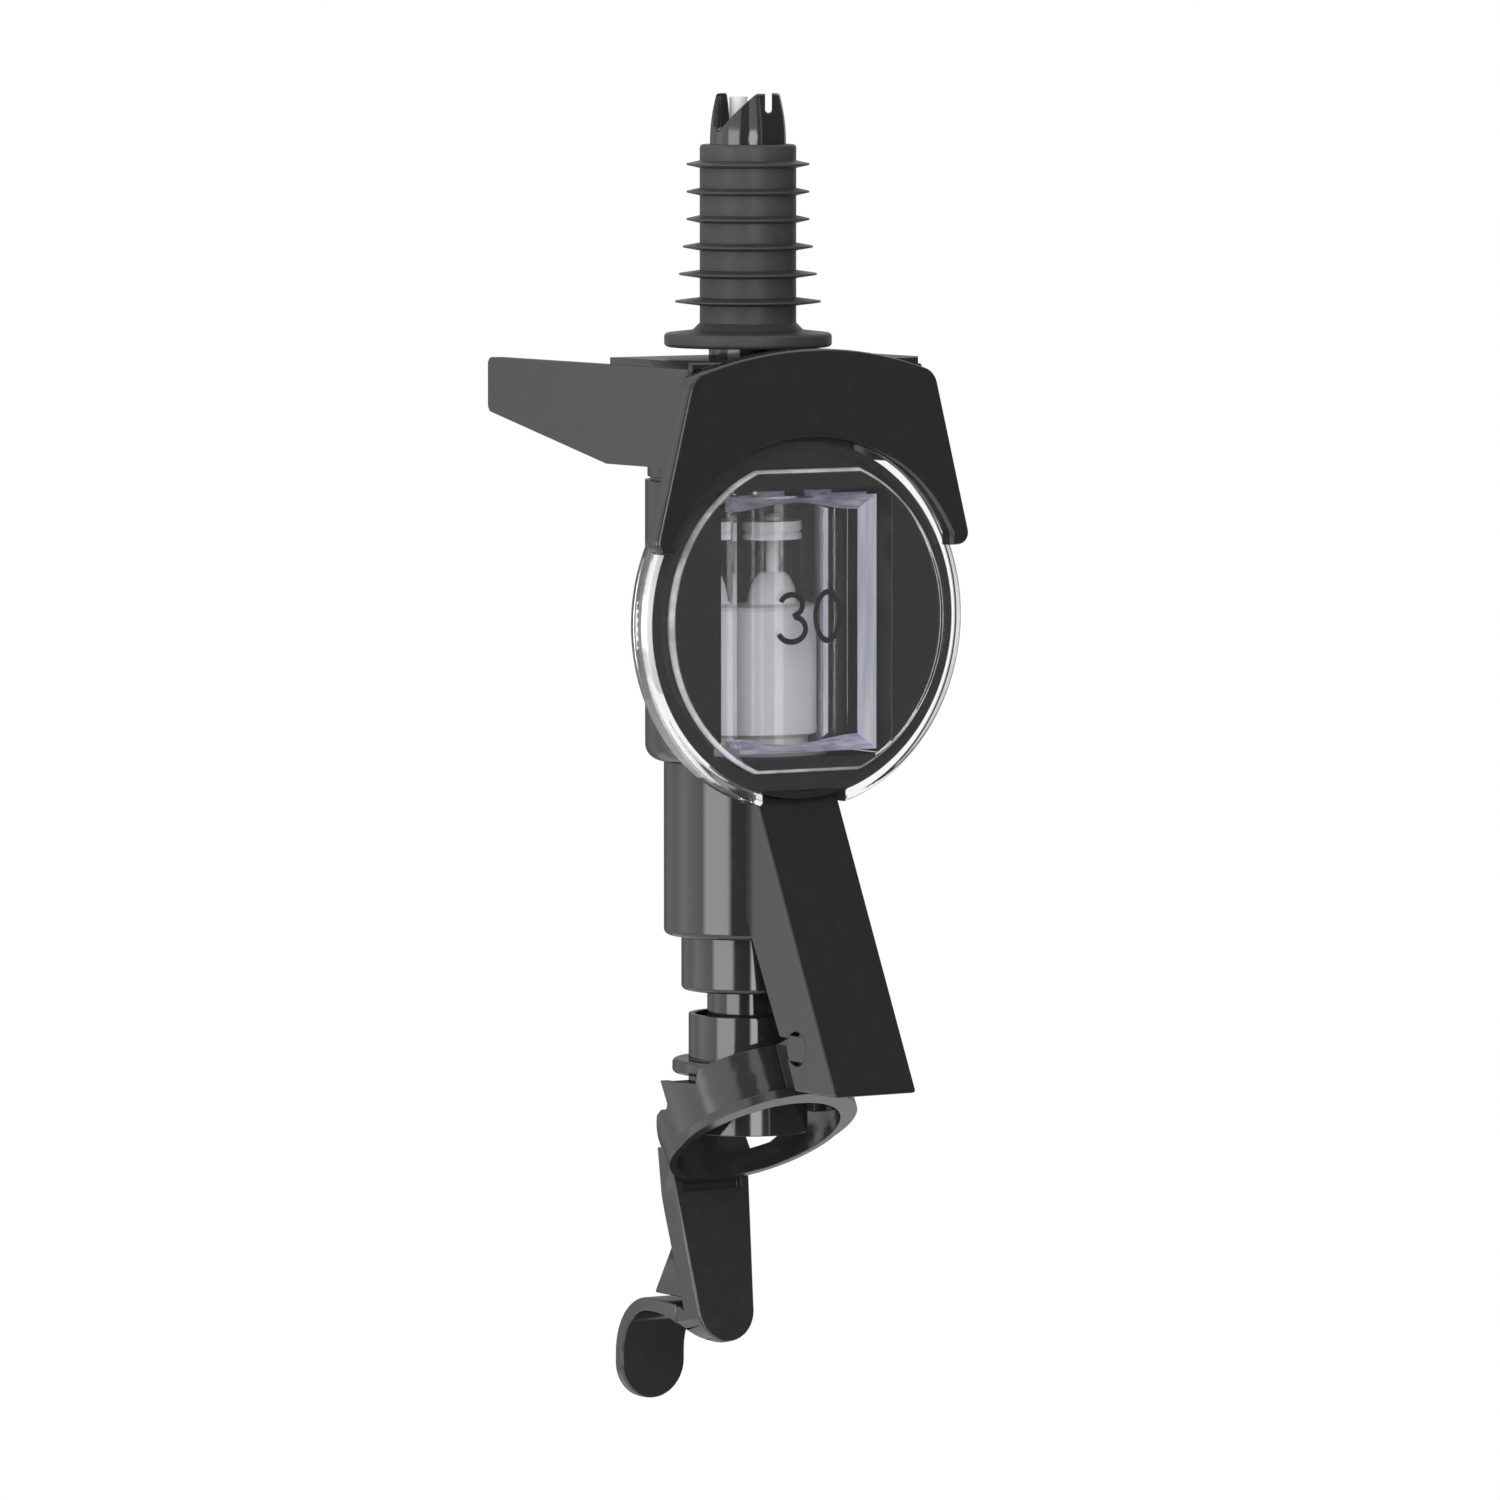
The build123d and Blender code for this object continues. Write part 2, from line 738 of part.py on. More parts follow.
# Valve stem: hollow, shut at the top, with four ports just below the seal
port_top_z = seal_z - gland_half - 0.2
with BuildPart() as valve_stem:
    with BuildSketch(Plane.XZ):
        with BuildLine():
            Polyline(
                (0, stem_flange_z),
                (stem_bore_r, stem_flange_z),
                (stem_bore_r, stem_end_z),
                (stem_r, stem_end_z),
                (stem_r, stem_flange_z),
                (stem_flange_r, stem_flange_z),
                (stem_flange_r, stem_top_z),
                (rod_r + fit, stem_top_z),
                (rod_r + fit, rod_low_z),
                (0, rod_low_z),
                close=True,
            )
        make_face()
    revolve(axis=Axis.Z)
    for port_plane in (Plane.XZ, Plane.YZ):
        with BuildSketch(port_plane.offset(-2 * stem_r)):
            with Locations((0, port_top_z - stem_port_h / 2)):
                RectangleRounded(stem_port_w, stem_port_h, 0.8)
        extrude(amount=4 * stem_r, mode=Mode.SUBTRACT)
valve_stem.part.label = "valve_stem"
export_step(valve_stem.part, "parts/valve_stem.step")

# Return spring: pushes the stem down from the flow plate
spring_low_z = stem_top_z + spring_wire_r + fit
spring_high_z = body_bottom_z - spring_wire_r - fit
spring_rise = spring_high_z - spring_low_z
with BuildPart() as return_spring:
    with BuildLine(Plane.XY.offset(spring_low_z)):
        turns = Helix(spring_rise / spring_turns, spring_rise, spring_mean_r)
    with BuildSketch(Plane(turns @ 0, z_dir=turns % 0)):
        Circle(spring_wire_r)
    sweep(path=turns, is_frenet=True)
return_spring.part.label = "return_spring"
export_step(return_spring.part, "parts/return_spring.step")

# Spout: open cup round the stem, lifting collar, and a drip nozzle inside
collar_low_z = collar_top_z - collar_t
with BuildPart() as spout_cup:
    with BuildSketch(Plane.XZ):
        with BuildLine():
            Polyline(
                (stem_r + fit, web_top_z),
                (cup_r - cup_wall, web_top_z),
                (cup_r - cup_wall, cup_top_z),
                (cup_r, cup_top_z),
                (cup_r, collar_top_z),
                (collar_r, collar_top_z),
                (collar_r, collar_low_z),
                (cup_r, collar_low_z),
                (cup_r, cup_bottom_z),
                (cup_r - cup_wall, cup_bottom_z),
                (cup_r - cup_wall, web_bottom_z),
                (nozzle_r, web_bottom_z),
                (nozzle_r, web_bottom_z - nozzle_h),
                (stem_bore_r, web_bottom_z - nozzle_h),
                (stem_bore_r, stem_end_z - fit),
                (stem_r + fit, stem_end_z - fit),
                close=True,
            )
        make_face()
    revolve(axis=Axis.Z)
    collar_edges = [
        e
        for e in spout_cup.edges().filter_by(GeomType.CIRCLE)
        if abs(e.radius - collar_r) < 0.01
    ]
    fillet(collar_edges, 0.7)
    # Flat on the collar, clear of the lever's front wall
    with BuildSketch(Plane.XY.offset(collar_low_z)):
        with Locations((0, collar_flat_y - collar_r / 2)):
            Rectangle(2 * collar_r, collar_r)
        Circle(cup_r, mode=Mode.SUBTRACT)
    extrude(amount=collar_t, mode=Mode.SUBTRACT)
spout_cup.part.label = "spout_cup"
export_step(spout_cup.part, "parts/spout_cup.step")

# Front leg: slanted channel with two snap sockets, open to the back
leg_slope = (leg_top_y - leg_foot_y) / (leg_top_z - leg_foot_z)
saddle_y = -math.sqrt((tube_r + fit) ** 2 - leg_half_w**2)
with BuildPart() as front_leg:
    with BuildSketch(Plane.YZ.offset(-leg_half_w)):
        with BuildLine():
            Polyline(
                (saddle_y / 2, leg_top_z),
                (leg_top_y, leg_top_z),
                (leg_foot_y, leg_foot_z),
                (leg_foot_back_y, leg_foot_z),
                (throat_low_y, throat_low_z),
                (throat_back_y, throat_top_z),
                (saddle_y, leg_leave_z),
                (saddle_y / 2, leg_leave_z),
                close=True,
            )
        make_face()
    extrude(amount=2 * leg_half_w)
    # Channel between the side walls, behind the front plate
    with BuildSketch(Plane.YZ.offset(-(leg_half_w - leg_wall))):
        with BuildLine():
            Polyline(
                (0, leg_top_z + 1),
                (leg_top_y + leg_plate_t + leg_slope, leg_top_z + 1),
                (leg_foot_y + leg_plate_t - leg_slope, leg_foot_z - 1),
                (0, leg_foot_z - 1),
                close=True,
            )
        make_face()
    extrude(amount=2 * (leg_half_w - leg_wall), mode=Mode.SUBTRACT)
    # Saddle on the outlet tube
    with BuildSketch(Plane.XY.offset(leg_foot_z)):
        Circle(tube_r + fit)
    extrude(amount=leg_top_z - leg_foot_z + 1, mode=Mode.SUBTRACT)
    # Edge of the round face above the leg
    with BuildSketch(Plane.XZ):
        with Locations((0, face_z)):
            Circle(face_r + fit)
    extrude(amount=3 * tube_r, mode=Mode.SUBTRACT)
    # Sockets and their throats
    with BuildSketch(Plane.YZ.offset(-2 * leg_half_w)):
        with Locations((pivot_y, pivot_z)):
            Circle(pivot_r + hinge_fit)
        with BuildLine():
            Polyline(
                (pivot_y, throat_top_z - 0.3),
                (throat_back_y + 3, throat_top_z),
                (throat_back_y + 3, throat_low_z),
                (pivot_y, throat_low_z),
                close=True,
            )
        make_face()
    extrude(amount=4 * leg_half_w, mode=Mode.SUBTRACT)
front_leg.part.label = "front_leg"
export_step(front_leg.part, "parts/front_leg.step")

# Tongue of the lever: flat front with a round tip, and side walls behind it
lean = math.radians(tongue_lean)
tongue_plane = Plane(
    origin=(0, tongue_top_y, tongue_top_z),
    x_dir=(1, 0, 0),
    z_dir=(0, -math.cos(lean), math.sin(lean)),
)
tip_y = -(tongue_len - tongue_low_half_w)
wall_depth = waist_y - tongue_top_y + (tongue_top_z - waist_z) * math.tan(lean)
wall_foot_z = gusset_z - 2.0


def tongue_line(behind, z):
    """Point of the side view at height z, so far behind the tongue's front."""
    return (tongue_top_y + behind - (tongue_top_z - z) * math.tan(lean), z)


with BuildSketch(tongue_plane) as tongue_outline:
    with BuildLine():
        Polyline(
            (-tongue_low_half_w, tip_y),
            (-tongue_top_half_w, 0),
            (-tongue_top_half_w, 9),
            (tongue_top_half_w, 9),
            (tongue_top_half_w, 0),
            (tongue_low_half_w, tip_y),
        )
        ThreePointArc(
            (tongue_low_half_w, tip_y),
            (0, -tongue_len),
            (-tongue_low_half_w, tip_y),
        )
    make_face()

with BuildPart() as tongue:
    extrude(tongue_outline.sketch, amount=15, dir=-tongue_plane.z_dir)
    with BuildSketch(tongue_plane.offset(-tongue_plate_t)):
        with BuildLine():
            inner_low = tongue_low_half_w - tongue_wall
            inner_top = tongue_top_half_w - tongue_wall
            Polyline(
                (-inner_low, tip_y + 2),
                (-inner_top, 0),
                (-inner_top, 1),
                (inner_top, 1),
                (inner_top, 0),
                (inner_low, tip_y + 2),
                close=True,
            )
        make_face()
    extrude(amount=-20, mode=Mode.SUBTRACT)
    with BuildSketch(Plane.YZ.offset(-2 * tongue_top_half_w)):
        with BuildLine():
            Polyline(
                (ring_y + 14.2, ring_z - 6.6),
                (ring_y + 16.4, ring_z - 2.5),
                (waist_y + 2.3, ring_z - 2.5),
                (waist_y, waist_z),
                tongue_line(wall_depth, wall_foot_z),
                (crest_y - crest_r + 1.2, wall_foot_z - 2.2),
                (crest_y - crest_r - 3.4, wall_foot_z - 4.4),
                (crest_y - crest_r - 4.8, tongue_top_z - 2 * tongue_len),
                (tongue_top_y - tongue_len, tongue_top_z - 2 * tongue_len),
                (tongue_top_y - tongue_len, ring_z - 6.6),
                close=True,
            )
        make_face()
    extrude(amount=4 * tongue_top_half_w, mode=Mode.INTERSECT)
    # Shallow recess across the top, below the ring
    with BuildSketch(tongue_plane):
        with Locations((0, tongue_recess_h / 2)):
            Rectangle(2 * inner_top, tongue_recess_h)
    extrude(amount=-tongue_plate_t / 2, mode=Mode.SUBTRACT)

# Gusset behind the walls, and narrower than they are
with BuildPart() as gusset:
    with BuildSketch(Plane.YZ.offset(-gusset_half_w)):
        with BuildLine():
            Polyline(
                tongue_line(wall_depth / 2, waist_z),
                (waist_y, waist_z),
                (gusset_y, gusset_z),
                tongue_line(wall_depth / 2, gusset_z),
                close=True,
            )
        make_face()
    extrude(amount=2 * gusset_half_w)
    with BuildSketch(Plane.YZ.offset(-gusset_half_w + tongue_wall)):
        with BuildLine():
            Polyline(
                (waist_y - tongue_top_half_w, waist_z - tongue_wall),
                (waist_y + 0.6, waist_z - tongue_wall),
                (gusset_y - tongue_wall, gusset_z - 1),
                (waist_y - tongue_top_half_w, gusset_z - 1),
                close=True,
            )
        make_face()
    extrude(amount=2 * (gusset_half_w - tongue_wall), mode=Mode.SUBTRACT)

# Strip that leaves the tongue's tip, goes over a crest and hangs down as the ear
ear_front_y = crest_y + crest_r - strip_t
crest_top_z = crest_z + crest_r
tip_line = tongue_line(0.2, tongue_top_z - tongue_len + 0.4)
join_y = waist_y - 0.6
# Space below and beside the tongue's round tip
with BuildPart() as beyond_tip:
    with BuildSketch(Plane.YZ.offset(-2 * strip_half_w)):
        Polygon(
            (tongue_top_y - tongue_len, ear_bottom_z),
            (join_y, ear_bottom_z),
            (join_y, crest_top_z),
            (tongue_top_y - tongue_len, crest_top_z),
            align=None,
        )
    extrude(amount=4 * strip_half_w)
    extrude(
        tongue_outline.sketch,
        amount=2 * crest_r,
        dir=-tongue_plane.z_dir,
        mode=Mode.SUBTRACT,
    )

with BuildPart() as strip:
    with BuildSketch(Plane.YZ.offset(-strip_half_w)):
        with BuildLine():
            top_run = Spline(
                tongue_line(0.6, wall_foot_z - 1.0),
                (join_y, crest_top_z - 0.5),
                (crest_y, crest_top_z),
                tangents=((0.95, 0.3), (1, 0)),
            )
            ThreePointArc(
                (crest_y, crest_top_z),
                (crest_y + crest_r * 0.7071, crest_z + crest_r * 0.7071),
                (crest_y + crest_r, crest_z),
            )
            Polyline(
                (crest_y + crest_r, crest_z),
                (crest_y + crest_r, ear_bottom_z),
                (ear_front_y, ear_bottom_z),
                (ear_front_y, crest_z),
            )
            ThreePointArc(
                (ear_front_y, crest_z),
                (crest_y + 5.55, crest_z + 5.75),
                (crest_y, crest_top_z - strip_t),
            )
            Spline(
                (crest_y, crest_top_z - strip_t),
                (join_y + 0.2, crest_top_z - strip_t - 1.3),
                (waist_y - 4.1, crest_top_z - strip_t - 3.2),
                (waist_y - 6.5, crest_top_z - strip_t - 4.15),
                tip_line,
                tangents=((-1, 0), (-1, 0.1)),
            )
            Line(tip_line, top_run @ 0)
        make_face()
    extrude(amount=2 * strip_half_w)
    # Plan of the strip: as wide as the tongue's tip at the front, wider at the ear
    with BuildSketch(Plane.XY.offset(ear_bottom_z)):
        Polygon(
            (-tongue_low_half_w - 0.15, 0),
            (tongue_low_half_w + 0.15, 0),
            (tongue_low_half_w + 0.15, join_y),
            (strip_half_w, crest_y),
            (strip_half_w, crest_y + 2 * crest_r),
            (-strip_half_w, crest_y + 2 * crest_r),
            (-strip_half_w, crest_y),
            (-tongue_low_half_w - 0.15, join_y),
            align=None,
        )
    extrude(amount=4 * crest_r, mode=Mode.INTERSECT)
    # Round end of the ear
    with BuildSketch(Plane.XZ.offset(-crest_y - 2 * crest_r)):
        with Locations((0, ear_bottom_z + strip_half_w)):
            Circle(strip_half_w)
        with Locations((0, ear_bottom_z + strip_half_w + crest_r)):
            Rectangle(2 * strip_half_w, 2 * crest_r)
    extrude(amount=2 * crest_r + crest_y, mode=Mode.INTERSECT)
    # Round tip: the front of the strip keeps inside the tongue's outline
    add(beyond_tip.part, mode=Mode.SUBTRACT)

# Lever: tilted ring round the spout, arm and trunnions, pads under the collar
tilt = math.radians(ring_tilt)
ring_axis = Vector(0, math.sin(tilt), math.cos(tilt))
lever_plane = Plane(origin=(0, ring_y, ring_z), x_dir=(1, 0, 0), z_dir=ring_axis)
shell_h = ring_h * 1.3


def beside_ring(back, up):
    """Point of the side view: back along the rim and up along the ring's axis."""
    return (
        ring_y + back * math.cos(tilt) + up * math.sin(tilt),
        ring_z - back * math.sin(tilt) + up * math.cos(tilt),
    )


def rim_line(y, up):
    """Height in the side view of the line that lies up above the lower rim."""
    foot_y, foot_z = beside_ring(0, up)
    return foot_z - (y - foot_y) * math.tan(tilt)


# Oval wall that flares a little towards its top
with BuildPart() as oval_wall:
    with BuildSketch(lever_plane):
        Ellipse(ring_half_w, ring_half_l)
    with BuildSketch(lever_plane.offset(shell_h)):
        Ellipse(ring_half_w + ring_flare, ring_half_l + ring_flare)
    loft()
    with BuildSketch(lever_plane):
        Ellipse(ring_half_w - ring_wall, ring_half_l - ring_wall)
    with BuildSketch(lever_plane.offset(shell_h)):
        Ellipse(
            ring_half_w + ring_flare - ring_wall, ring_half_l + ring_flare - ring_wall
        )
    loft(mode=Mode.SUBTRACT)

with BuildPart() as ring:
    add(oval_wall.part)
    with BuildSketch(Plane.YZ.offset(-2 * ring_half_l)):
        with BuildLine():
            reach = 2 * ring_half_l
            Polyline(
                beside_ring(reach, 0),
                beside_ring(-reach, 0),
                beside_ring(-reach, ring_h),
                (tooth_step_y, rim_line(tooth_step_y, ring_h)),
                (tooth_step_y, tooth_z),
                (tooth_tip_y, tooth_z),
                (tooth_tip_y - 1.6, tooth_z - 3.6),
            )
            ThreePointArc(
                (tooth_tip_y - 1.6, tooth_z - 3.6),
                (tooth_tip_y - 1.0, tooth_z - 4.9),
                (tooth_tip_y + 0.3, rim_line(tooth_tip_y + 0.3, side_wall_h)),
            )
            Polyline(
                (tooth_tip_y + 0.3, rim_line(tooth_tip_y + 0.3, side_wall_h)),
                (tooth_tip_y + 2.4, rim_line(tooth_tip_y + 2.4, side_wall_h)),
                (tooth_tip_y + 6.4, rim_line(tooth_tip_y + 6.4, low_wall_h)),
                beside_ring(reach, low_wall_h),
                beside_ring(reach, 0),
            )
        make_face()
    extrude(amount=4 * ring_half_l, mode=Mode.INTERSECT)

# Raised tab at the back of the ring
with BuildPart() as tab:
    add(oval_wall.part)
    with BuildSketch(lever_plane):
        with Locations((0, ring_half_l)):
            Rectangle(2 * tab_half_w, 2 * ring_half_l)
    extrude(amount=tab_h, mode=Mode.INTERSECT)

with BuildPart() as lever:
    add(ring.part)
    add(tab.part)
    # Rim that grows wider towards the front
    with BuildSketch(lever_plane):
        with Locations((0, -rim_shift)):
            Circle(rim_r)
        Ellipse(
            ring_half_w - ring_wall, ring_half_l - ring_wall, mode=Mode.SUBTRACT
        )
        with Locations((0, -ring_half_l)):
            Rectangle(4 * ring_half_l, 2 * ring_half_l, mode=Mode.INTERSECT)
    extrude(amount=rim_t)
    # Arm and gusset between the ring and the pivot
    with BuildSketch(Plane.YZ.offset(-arm_half_w)):
        with BuildLine():
            Polyline(
                beside_ring(-ring_half_l - ring_flare / 2 + 0.2, ring_h),
                (tooth_step_y - 10.4, pivot_z + 0.6),
                (pivot_y, pivot_z + pivot_flat),
                (pivot_y - pivot_flat, pivot_z),
                (pivot_y - 1.0, pivot_z - pivot_flat),
                beside_ring(-ring_half_l - 0.2, 1.0),
                beside_ring(-ring_half_l + 0.6, 1.0),
                close=True,
            )
        make_face()
    extrude(amount=2 * arm_half_w)
    # Trunnions with two flats
    with BuildSketch(Plane.YZ.offset(-leg_half_w)):
        with Locations((pivot_y, pivot_z)):
            Circle(pivot_r)
            Rectangle(3 * pivot_r, 2 * pivot_flat, mode=Mode.INTERSECT)
    extrude(amount=2 * leg_half_w)
    # Pads that lift the collar
    with BuildSketch(Plane.XY.offset(tooth_z - pad_t)):
        for side in (-1, 1):
            with Locations((side * (pad_x + pad_w / 2), pad_back_y - pad_l / 2)):
                Rectangle(pad_w, pad_l)
    extrude(amount=pad_t)
    add(tongue.part)
    add(gusset.part)
    add(strip.part)
lever.part.label = "lever"
export_step(lever.part, "parts/lever.step")
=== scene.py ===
import json
import math

import bmesh
import bpy
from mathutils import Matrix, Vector


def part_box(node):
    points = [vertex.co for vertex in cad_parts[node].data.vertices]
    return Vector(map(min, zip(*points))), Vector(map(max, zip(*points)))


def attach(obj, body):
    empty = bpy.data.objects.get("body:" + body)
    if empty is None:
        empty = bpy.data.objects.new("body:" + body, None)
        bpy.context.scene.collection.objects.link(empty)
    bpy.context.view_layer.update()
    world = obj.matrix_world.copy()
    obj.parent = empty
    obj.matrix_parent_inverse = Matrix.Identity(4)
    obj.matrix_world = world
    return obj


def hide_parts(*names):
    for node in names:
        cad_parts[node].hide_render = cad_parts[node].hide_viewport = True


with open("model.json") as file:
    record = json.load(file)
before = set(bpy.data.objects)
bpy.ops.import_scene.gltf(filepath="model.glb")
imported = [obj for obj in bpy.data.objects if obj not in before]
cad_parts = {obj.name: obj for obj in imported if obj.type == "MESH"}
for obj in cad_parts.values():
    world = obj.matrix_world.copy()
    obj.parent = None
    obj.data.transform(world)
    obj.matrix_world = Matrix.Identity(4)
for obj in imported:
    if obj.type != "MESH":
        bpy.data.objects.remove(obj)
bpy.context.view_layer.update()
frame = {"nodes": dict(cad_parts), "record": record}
nodes = frame["nodes"]
MM = 0.001

# Edges: turns that count as hard, and how the chosen ones are rounded
SHARP = math.radians(32.0)
SHARP_BETWEEN_BROAD = math.radians(10.0)
BROAD_FACE = 25.0 * MM**2
WELD = 0.002 * MM
FLAT_TURN = math.radians(0.4)
ROOM_SHARE = 0.45
LEAST_ROUND_SHARE = 0.15
ROUND_STEPS = 4
FLAT_SIDES_LEAD = 80
LONG_EDGE = 8.0 * MM
BLADE_TOP_Z = -0.152
FACES_FRONT = 0.99

# Clear block in the window, and the sloping facets round its front
BLOCK_MIDDLE_Z = -0.0479
BLOCK_HALF_W = 0.0142
BLOCK_HALF_H = 0.0213
FACET_DEPTH = 0.0037
FACET_INSET = 0.0027
FACET_START = 0.0002
FACET_CLEAR = 0.0015
GROOVE_START_X = -0.0128
GROOVE_BEYOND = 0.001
ARCH_MIDDLE_X = -0.0015
ARCH_HALF_W = 0.013
ARCH_RISE = 0.00135
ARCH_STEPS = 28
PANE_EDGE_Y = -0.01765

# Printed number; its height, its front and back and, in mm, how wide a stroke is
NUMBER_MIDDLE_Z = -0.0467
NUMBER_FRONT = -0.01726
NUMBER_BACK = -0.01722
NUMBER_STROKE = 0.95
# Its arcs in mm: middle x and z, half width and height, first and last angle, steps
THREE_TOP = (-3.05, 2.0, 2.2, 1.75, 160.0, -75.0, 24)
THREE_FOOT = (-2.95, -1.95, 2.7, 2.1, 75.0, -160.0, 28)
NOUGHT = (4.1, 0.0, 2.35, 4.0, 0.0, 360.0, 48)

# Camera: front and left of the measure, a little above it, with a long lens
VIEW_AZIMUTH = math.radians(-33.0)
VIEW_ELEVATION = math.radians(4.3)
VIEW_DISTANCE = 1.9
PIXELS_PER_M = 6022.0
IMAGE_SIDE = 1500
SENSOR_WIDTH = 36.0
AXIS_PIXEL = 748.0
AIM_Z = -0.0698

# Tones of the pieces, linear; round that their edges catch light on, depth of sinks
CORK = (0.047, 0.048, 0.049)
BLACK = (0.0210, 0.0210, 0.0212)
BLACK_LEVER = (0.0260, 0.0262, 0.0258)
BLACK_HOOD = (0.0205, 0.0206, 0.0210)
WHITE = (0.93, 0.935, 0.945)
EDGE_ROUND = 0.00025
SINK_WAVE = 0.00003

# Room: glow of the walls in shade, the floor, and the two lamps
ROOM_GLOW = 0.62
FLOOR_Z = -0.75
FLOOR_REACH = 4.0
LAMP_DISTANCE = 1.5
LAMP_SIDE = 1.2
LAMP_AIM_Z = -0.07

# Azimuth, as the camera's, and glow of the studio wall on the camera's left
LIGHT_WALL_DISTANCE = 1.35
LIGHT_WALL = (
    (-200.0, 0.40),
    (-150.0, 0.66),
    (-132.0, 1.30),
    (-98.0, 0.90),
    (-92.0, 3.40),
    (-61.0, 3.40),
    (-55.0, 0.12),
    (-30.0, 0.12),
    (-26.0, 4.60),
    (-9.0, 4.60),
    (-4.0, 0.30),
    (9.0, 0.15),
)
# Heights on that wall, and the most that it may glow there
WALL_ROWS = ((-0.70, 0.8), (-0.42, 0.8), (-0.36, 9.0), (0.14, 9.0), (0.22, 1.0), (1.20, 1.0))

# Dark cloth on the camera's right, as a wall and on the floor; it has no glow
DARK_CLOTH = 0.07
DARK_DISTANCE = 0.8
DARK_FLOOR_Z = -0.72
DARK_FLOOR_NEAR = 0.12
DARK_FLOOR_SPAN = (10.0, 110.0)
DARK_WALL = ((10.0, 0.0), (67.0, 0.0), (124.0, 0.0))
DARK_ROWS = ((DARK_FLOOR_Z, 0.0), (1.1, 0.0))
CARD_STEPS = 6


def in_scene(name, data):
    """New object of that name in the scene's collection."""
    made = bpy.data.objects.new(name, data)
    bpy.context.scene.collection.objects.link(made)
    return made


class Wire:
    """One output socket, with the sums that the finishes are written in."""

    def __init__(self, finish, socket):
        self.finish = finish
        self.socket = socket

    def _maths(self, operation, *values):
        return self.finish.node(
            "ShaderNodeMath", {"operation": operation}, dict(enumerate(values))
        )

    def __add__(self, other):
        return self._maths("ADD", self, other)

    def __radd__(self, other):
        return self._maths("ADD", other, self)

    def __rsub__(self, other):
        return self._maths("SUBTRACT", other, self)

    def __mul__(self, other):
        return self._maths("MULTIPLY", self, other)


class Finish:
    """A material or world tree that is filled in by one node method."""

    def __init__(self, owner):
        self.owner = owner
        owner.use_nodes = True
        self.tree = owner.node_tree
        self.tree.nodes.clear()

    def node(self, kind, settings=None, values=None, out=0):
        """Adds one node: its settings, its sockets' values or links, and its output."""
        made = self.tree.nodes.new(kind)
        settings = dict(settings or {})
        stops = settings.pop("stops", None)
        for key, value in settings.items():
            setattr(made, key, value)
        if stops:
            ramp = made.color_ramp.elements
            while len(ramp) < len(stops):
                ramp.new(0.5)
            for element, (place, tone) in zip(ramp, stops):
                element.position = place
                element.color = (tone, tone, tone, 1.0)
        for key, value in (values or {}).items():
            socket = made.inputs[key]
            if isinstance(value, Wire):
                self.tree.links.new(value.socket, socket)
            elif isinstance(value, tuple) and len(value) == 3 and socket.type == "RGBA":
                socket.default_value = (*value, 1.0)
            else:
                socket.default_value = value
        return Wire(self, made.outputs[out]) if made.outputs else None

    def place(self):
        return self.node("ShaderNodeTexCoord", out="Object")

    def noise(self, scale, detail, where=None):
        values = {"Vector": where or self.place(), "Scale": scale, "Detail": detail}
        return self.node("ShaderNodeTexNoise", values=values)

    def ramp(self, value, *stops):
        return self.node("ShaderNodeValToRGB", {"stops": stops}, {"Fac": value})

    def mix(self, amount, first, second):
        return self.node(
            "ShaderNodeMix",
            {"data_type": "RGBA"},
            {"Factor": amount, 6: first, 7: second},
            out=2,
        )

    def bump(self, height, depth, strength=1.0, over=None):
        values = {"Height": height, "Distance": depth, "Strength": strength}
        if over:
            values["Normal"] = over
        return self.node("ShaderNodeBump", values=values)

    def show(self, shader):
        """Puts one shader on the material's surface and gives the material."""
        self.node("ShaderNodeOutputMaterial", values={"Surface": shader})
        return self.owner

    def surface(self, **sockets):
        names = {key.replace("_", " "): value for key, value in sockets.items()}
        return self.show(self.node("ShaderNodeBsdfPrincipled", values=names))


def new_finish(name):
    return Finish(bpy.data.materials.new(name))


def cork_rubber():
    """Dull charcoal rubber with a faint bloom and fine moulding grain."""
    f = new_finish("cork_rubber")
    bloom = f.ramp(f.noise(170.0, 5.0), (0.38, 0.0), (0.72, 1.0))
    grain = f.noise(5200.0, 2.0)
    dust = f.ramp(f.noise(1400.0, 4.0), (0.60, 0.0), (0.74, 1.0))
    tone = f.mix(bloom * 0.45, CORK, (0.062, 0.063, 0.066))
    tone = f.mix(dust * 0.18, tone, (0.16, 0.16, 0.16))
    return f.surface(
        Base_Color=tone,
        Roughness=0.46 + bloom * 0.12,
        Specular_IOR_Level=0.45,
        Normal=f.bump(grain, 0.00004, 0.35),
    )


def black_plastic(name, tone, rough, grain_depth):
    """Moulded black plastic with sink waves, fine grain and rub marks; duller edge on."""
    f = new_finish(name)
    flow = f.noise(45.0, 2.0)
    rub = f.ramp(f.noise(420.0, 6.0), (0.52, 0.0), (0.78, 1.0))
    grain = f.noise(3600.0, 3.0)
    height = flow * SINK_WAVE + grain * grain_depth
    colour = f.mix(rub * 0.22, tone, tuple(2.0 * t for t in tone))
    soft_edge = f.node("ShaderNodeBevel", {"samples": 6}, {"Radius": EDGE_ROUND})
    gloss = f.node(
        "ShaderNodeBsdfPrincipled",
        values={
            "Base Color": colour,
            "Roughness": rough + rub * 0.05 + flow * 0.03,
            "IOR": 1.47,
            "Specular IOR Level": 1.0,
            "Normal": f.bump(height, 1.0, 1.0, soft_edge),
        },
    )
    dull = f.node("ShaderNodeBsdfDiffuse", values={"Color": colour})
    edge_on = f.node("ShaderNodeLayerWeight", values={"Blend": 0.5}, out="Facing")
    amount = f.ramp(edge_on, (0.62, 0.0), (0.85, 0.72))
    return f.show(f.node("ShaderNodeMixShader", values={0: amount, 1: gloss, 2: dull}))


